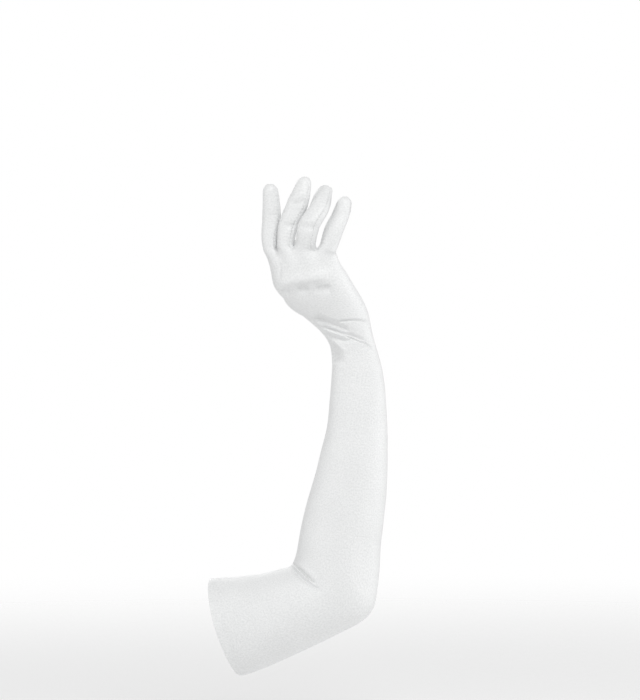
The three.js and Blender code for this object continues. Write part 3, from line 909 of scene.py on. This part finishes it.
# A piece's edge rolls down into its seam: how wide the roll is, how deep, how close to a seam such
# an edge is, and how close vertices are that become one.
ROLL = 0.5
ROLL_SINK = 0.14
ON_SEAM = 0.05
SAME_PLACE = 0.01


def seam_directions(mesh, lines):
    """A tree of the seams' points, and the direction out of the cloth at each."""
    points, normals = surface(mesh)
    on_seams = sorted({v for line in lines for v in line})
    return tree_of(points[on_seams]), [Vector(normals[v]) for v in on_seams]


def cloth_piece(fine, name, material, directions):
    """A piece of the cloth, with its edges rolled into the seams and a wall on its inside."""
    tree, ups = directions
    bm = bmesh.new()
    bm.from_mesh(fine)
    others = [f for f in bm.faces if f.material_index != PIECES.index(name)]
    bmesh.ops.delete(bm, geom=others, context="FACES")
    slit = bm.edges.layers.bool["slit"]
    bmesh.ops.split_edges(bm, edges=[e for e in bm.edges if e[slit] and len(e.link_faces) == 2])
    bmesh.ops.inset_region(
        bm, faces=bm.faces[:], use_boundary=True, use_even_offset=False, thickness=ROLL)
    for v in {v for e in bm.edges if e.is_boundary for v in e.verts}:
        _, nearest, distance = tree.find(v.co)
        if distance < ON_SEAM:
            v.co -= ups[nearest] * ROLL_SINK
    bmesh.ops.remove_doubles(bm, verts=bm.verts[:], dist=SAME_PLACE)
    bmesh.ops.scale(bm, verts=bm.verts[:], vec=(MM, MM, MM))
    walled = modified(
        finished(bm, f"{name}_cloth", material), "SOLIDIFY",
        thickness=WALL * MM, offset=-1, use_even_offset=False, use_rim=True)
    return add_object(f"{name}_cloth", walled)


class Nodes:
    """A short way to write a material's nodes."""

    def __init__(self, tree):
        self.tree = tree

    def link(self, output, node, key):
        self.tree.links.new(output, node.inputs[key])

    def new(self, kind, inputs, **settings):
        made = self.tree.nodes.new(kind)
        for key, value in settings.items():
            setattr(made, key, value)
        for key, value in inputs.items():
            if isinstance(value, bpy.types.NodeSocket):
                self.link(value, made, key)
            else:
                made.inputs[key].default_value = value
        return made

    def math(self, operation, a, b=0.0):
        return self.new("ShaderNodeMath", {0: a, 1: b}, operation=operation).outputs[0]

    def add(self, a, b):
        return self.math("ADD", a, b)

    def times(self, a, b):
        return self.math("MULTIPLY", a, b)

    def attribute(self, name):
        return self.new("ShaderNodeAttribute", {}, attribute_name=name).outputs["Fac"]

    def noise(self, vector, scale, detail):
        inputs = {"Vector": vector, "Scale": scale, "Detail": detail}
        return self.new("ShaderNodeTexNoise", inputs).outputs["Fac"]

    def ramp(self, value, low, high):
        inputs = {"Value": value, "To Min": low, "To Max": high}
        return self.new("ShaderNodeMapRange", inputs).outputs[0]

    def mix(self, share, dark, light):
        inputs = {0: share, 6: dark, 7: light}
        return self.new("ShaderNodeMix", inputs, data_type="RGBA").outputs[2]

    def bump(self, height, distance, normal=None):
        inputs = {"Height": height, "Distance": distance, "Strength": 1.0}
        if normal:
            inputs["Normal"] = normal
        return self.new("ShaderNodeBump", inputs).outputs["Normal"]


def new_material(name):
    """A material, a way to write its nodes, and its shader."""
    material = bpy.data.materials.new(name)
    material.use_nodes = True
    return material, Nodes(material.node_tree), material.node_tree.nodes["Principled BSDF"]


# The knit: the width of its ribs and the height of its rows in millimetres, how far the stitches
# slant, in radians of their wave, and what ribs and stitches add to the knit's height.
WALE = 1.05
COURSE = 0.85
SLANT = 3.0
RIB_SHARE = 0.3
STITCH_SHARE = 0.2

# Noise on the cloth: how many hills there are in a millimetre, and how much detail they have.
GRAIN = {"scale": 0.55, "detail": 3.0}
CLOUDS = {"scale": 0.03, "detail": 2.0}

# How much each pattern changes the tone, from the dark colour at 0 to the light one at 1, how high
# it stands in the relief, and how far from a seam the puckers and the painted seam shade reach, in
# millimetres. The painted seam shade is painted shade that darkens the cloth along the seams' grooves.
TONE_AT = -0.5
# The pucker tone is painted light and shade: lighter on the puckers' crests, darker in their hollows.
TONE = {"grain": 1.5, "clouds": 0.3, "knit": 0.25, "pucker": 0.07, "painted_seam_shade": -0.02}
RELIEF = {"pucker": 0.12, "grain": 0.35, "knit": 0.1}
REACH = {"pucker": 1.9, "painted_seam_shade": 0.7}

# The two sides of the cloth. Their roughness varies by ROUGHNESS_RANGE with the grain.
ROUGHNESS_RANGE = 0.06
SATIN = {
    "light": (0.90, 0.905, 0.905, 1), "dark": (0.70, 0.71, 0.71, 1), "roughness": 0.4, "sheen": 0.1}
SATIN_BACK = {
    "light": (0.88, 0.885, 0.885, 1), "dark": (0.68, 0.69, 0.69, 1), "roughness": 0.7, "sheen": 0.25}


def knit_height(nodes, places):
    """The height of a fine knit: ridges along the cloth with slanted stitches across them."""
    split = nodes.new("ShaderNodeSeparateXYZ", {0: places})
    x = nodes.times(split.outputs["X"], 2 * math.pi / WALE)
    y = nodes.times(split.outputs["Y"], 2 * math.pi / COURSE)
    ribs = nodes.math("COSINE", x)
    half_rib = nodes.math("SINE", nodes.times(x, 0.5))
    slant = nodes.times(nodes.math("ABSOLUTE", half_rib), SLANT)
    stitches = nodes.math("SINE", nodes.add(y, slant))
    both = nodes.add(nodes.times(ribs, RIB_SHARE), nodes.times(stitches, STITCH_SHARE))
    return nodes.add(both, 0.5)


def near_seam(nodes, reach):
    """1 on a seam, and less away from it."""
    share = nodes.math("DIVIDE", nodes.attribute("seam_away"), reach)
    return nodes.math("EXPONENT", nodes.times(nodes.times(share, share), -1.0))


def cloth_material(name, light, dark, roughness, sheen):
    """White stretch satin: a knit with grain, puckered along its seams."""
    material, nodes, shader = new_material(name)
    places = nodes.new("ShaderNodeUVMap", {}, uv_map="cloth").outputs["UV"]
    wave = nodes.times(nodes.attribute("seam_along"), 2 * math.pi / STITCH_STEP)
    patterns = {
        "grain": nodes.noise(places, **GRAIN),
        "clouds": nodes.noise(places, **CLOUDS),
        "knit": knit_height(nodes, places),
        # Painted light and shade on the puckers, following the same ripple as their relief.
        "pucker": nodes.times(nodes.math("COSINE", wave), near_seam(nodes, REACH["pucker"])),
        # Painted shade: the colour darkens close to each seam, where its groove lies in shade.
        "painted_seam_shade": near_seam(nodes, REACH["painted_seam_shade"]),
    }
    tone = TONE_AT
    for pattern, share in TONE.items():
        tone = nodes.add(nodes.times(patterns[pattern], share), tone)
    nodes.link(nodes.mix(tone, dark, light), shader, "Base Color")

    low, high = roughness - ROUGHNESS_RANGE, roughness + ROUGHNESS_RANGE
    nodes.link(nodes.ramp(patterns["grain"], low, high), shader, "Roughness")

    normal = None
    for pattern, height in RELIEF.items():
        normal = nodes.bump(patterns[pattern], height * MM, normal)
    nodes.link(normal, shader, "Normal")

    shader.inputs["Specular IOR Level"].default_value = 0.6
    shader.inputs["Sheen Weight"].default_value = sheen
    shader.inputs["Sheen Roughness"].default_value = 0.45
    return material


# The threads' fuzz: hills in a metre, detail, relief in millimetres, and its dark and light colours.
FUZZ = {"scale": 3000.0, "detail": 2.0}
FUZZ_RELIEF = 0.05
THREAD_DARK = (0.86, 0.87, 0.87, 1)
THREAD_LIGHT = (0.92, 0.925, 0.925, 1)


def thread_material():
    material, nodes, shader = new_material("thread")
    places = nodes.new("ShaderNodeTexCoord", {}).outputs["Object"]
    fuzz = nodes.noise(places, **FUZZ)
    nodes.link(nodes.mix(fuzz, THREAD_DARK, THREAD_LIGHT), shader, "Base Color")
    nodes.link(nodes.bump(fuzz, FUZZ_RELIEF * MM), shader, "Normal")
    shader.inputs["Roughness"].default_value = 0.55
    shader.inputs["Sheen Weight"].default_value = 0.2
    return material


# Stitches, in millimetres. STITCH_LINE: places along a stitch and heights over the cloth.
# OVERCAST, RUNNING: how much of a stitch goes across its seam or row, and along it.
STITCH_RADIUS = 0.18
STITCH_SIDES = 6
STITCH_LINE = [(-1.5, -0.5), (-1.1, -0.1), (-0.5, 0.1), (0.5, 0.1), (1.1, -0.1), (1.5, -0.5)]
OVERCAST = (1.0, 0.25)
RUNNING = (0.1, 1.0)
HEM_STITCH_STEP = 4.4


def add_thread(bm, line, radius):
    """A short thread along a line of points, with closed ends."""
    rings = []
    for i, point in enumerate(line):
        ahead = (line[min(i + 1, len(line) - 1)] - line[max(i - 1, 0)]).normalized()
        side = ahead.orthogonal().normalized()
        over = ahead.cross(side)
        ring = []
        for k in range(STITCH_SIDES):
            angle = 2 * math.pi * k / STITCH_SIDES
            spoke = side * math.cos(angle) + over * math.sin(angle)
            ring.append(bm.verts.new(point + spoke * radius))
        rings.append(ring)
    for lower, upper in zip(rings, rings[1:]):
        start = min(range(STITCH_SIDES), key=lambda k: (upper[k].co - lower[0].co).length)
        upper = upper[start:] + upper[:start]
        for k in range(STITCH_SIDES):
            after = (k + 1) % STITCH_SIDES
            bm.faces.new((lower[k], lower[after], upper[after], upper[k]))
    bm.faces.new(rings[0][::-1])
    bm.faces.new(rings[-1])


def add_stitches(bm, mesh, line, lengths, step, direction):
    """Stitches along a line of the mesh's vertices. direction: how much goes across and along it."""
    points, normals = surface(mesh)
    for place in np.arange(step / 2, lengths[-1], step):
        at, up = (
            Vector([np.interp(place, lengths, values[line, k]) for k in range(3)])
            for values in (points, normals))
        up.normalize()
        i = min(np.searchsorted(lengths, place), len(line) - 1)
        ahead = Vector(points[line[i]] - points[line[i - 1]]).normalized()
        across = up.cross(ahead).normalized()
        way = (across * direction[0] + ahead * direction[1]).normalized()
        middle = at + up * SEAM_SINK / 2
        thread = [(middle + way * x + up * z) * MM for x, z in STITCH_LINE]
        add_thread(bm, thread, STITCH_RADIUS * MM)


def make_stitches(mesh, seams, rows, measures, material):
    """Threads over the seams, and the rows of stitches through the hem."""
    bm = bmesh.new()
    for line, lengths in zip(seams, measures):
        add_stitches(bm, mesh, line, lengths, STITCH_STEP, OVERCAST)
    for line, lengths in zip(rows, measures[len(seams):]):
        add_stitches(bm, mesh, line, lengths, HEM_STITCH_STEP, RUNNING)
    bmesh.ops.recalc_face_normals(bm, faces=bm.faces[:])
    return add_object("seam_stitches", finished(bm, "seam_stitches", material))


def make_glove():
    cage = Cage()
    rings, palm_length, palm_along = add_sleeve(cage)
    add_fingers(cage, rings, palm_length, palm_along)
    add_forms(cage)
    add_thumb(cage, rings)
    fine = subdivided(cage)
    refine_near_folds(fine)
    add_folds(fine)
    seams = seam_lines(fine)
    rows = hem_rows(fine)
    measures = add_seams(fine, seams + rows, [0] * len(seams) + [ROW_EASE] * len(rows))
    directions = seam_directions(fine, seams)

    cloth = {
        "satin": cloth_material("satin", **SATIN),
        "hem": cloth_material("satin_back", **SATIN_BACK),
    }
    for name in PIECES:
        finish = "hem" if name == "hem" else "satin"
        piece = cloth_piece(fine, name, cloth[finish], directions)
        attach(piece, BODY)
        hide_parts(name)
    sewn = make_stitches(fine, seams, rows, measures, thread_material())
    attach(sewn, BODY)
    bpy.data.meshes.remove(fine)


def make_camera():
    data = bpy.data.cameras.new("camera")
    data.sensor_width = SENSOR
    data.lens = SENSOR * -CAMERA_AT.y / PICTURE_SPAN
    data.clip_end = CLIP_END
    camera = add_object("camera", data)
    camera.location = CAMERA_AT
    camera.rotation_euler = (math.pi / 2, 0, 0)
    bpy.context.scene.camera = camera


# The floor is a disc, solid up to a radius. From there it fades out into the pale room round it.
FLOOR_AT = (0.1, 0, -0.13)
FLOOR_SOLID = 0.5
FLOOR_RADIUS = 2.4
FLOOR_CORNERS = 96
FLOOR_COLOUR = (0.93, 0.93, 0.93, 1)


def floor_material():
    material, nodes, shader = new_material("floor")
    shader.inputs["Base Color"].default_value = FLOOR_COLOUR
    shader.inputs["Roughness"].default_value = 0.9
    place = nodes.new("ShaderNodeTexCoord", {}).outputs["Object"]
    away = nodes.new("ShaderNodeVectorMath", {0: place}, operation="LENGTH").outputs["Value"]
    inputs = {"Value": away, "From Min": FLOOR_SOLID, "From Max": FLOOR_RADIUS}
    fade = nodes.new("ShaderNodeMapRange", inputs, interpolation_type="SMOOTHSTEP").outputs[0]
    clear = nodes.new("ShaderNodeBsdfTransparent", {}).outputs[0]
    mixed = nodes.new("ShaderNodeMixShader", {0: fade, 1: shader.outputs[0], 2: clear}).outputs[0]
    nodes.link(mixed, material.node_tree.nodes["Material Output"], "Surface")
    return material


def make_floor():
    bm = bmesh.new()
    bmesh.ops.create_circle(bm, cap_ends=True, segments=FLOOR_CORNERS, radius=FLOOR_RADIUS)
    floor = add_object("floor", finished(bm, "floor", floor_material()))
    floor.location = FLOOR_AT


# The pale room's strength as light. The camera sees it white.
AMBIENT = 0.625

# Soft discs of light that face the glove, in metres and watts.
LIT = Vector((0.1, 0, 0.25))
LIGHTS = table("name at size power", [
    ("key", (0.6, -1.65, 1.7), 1.3, 19),
    ("right", (2.3, 0.2, 0.25), 1.2, 11),
    ("left", (-2.1, -0.9, 0.7), 1.2, 8),
    ("back", (-0.4, 2.4, 1.2), 1.6, 8),
])


def make_room():
    """A pale room, as bright as AMBIENT to everything but the camera."""
    scene = bpy.context.scene
    scene.view_settings.view_transform = "Standard"
    scene.world = bpy.data.worlds.new("studio")
    scene.world.use_nodes = True
    nodes = Nodes(scene.world.node_tree)
    background = scene.world.node_tree.nodes["Background"]
    seen = nodes.new("ShaderNodeLightPath", {}).outputs["Is Camera Ray"]
    nodes.link(nodes.ramp(seen, AMBIENT, 1.0), background, "Strength")
    background.inputs["Color"].default_value = (1, 1, 1, 1)


def make_lights():
    for light in LIGHTS:
        data = bpy.data.lights.new(light["name"], "AREA")
        data.shape = "DISK"
        data.size = light["size"]
        data.energy = light["power"]
        made = add_object(light["name"], data)
        made.location = light["at"]
        made.rotation_euler = (LIT - Vector(light["at"])).to_track_quat("-Z", "Y").to_euler()


make_glove()
make_camera()
make_floor()
make_room()
make_lights()
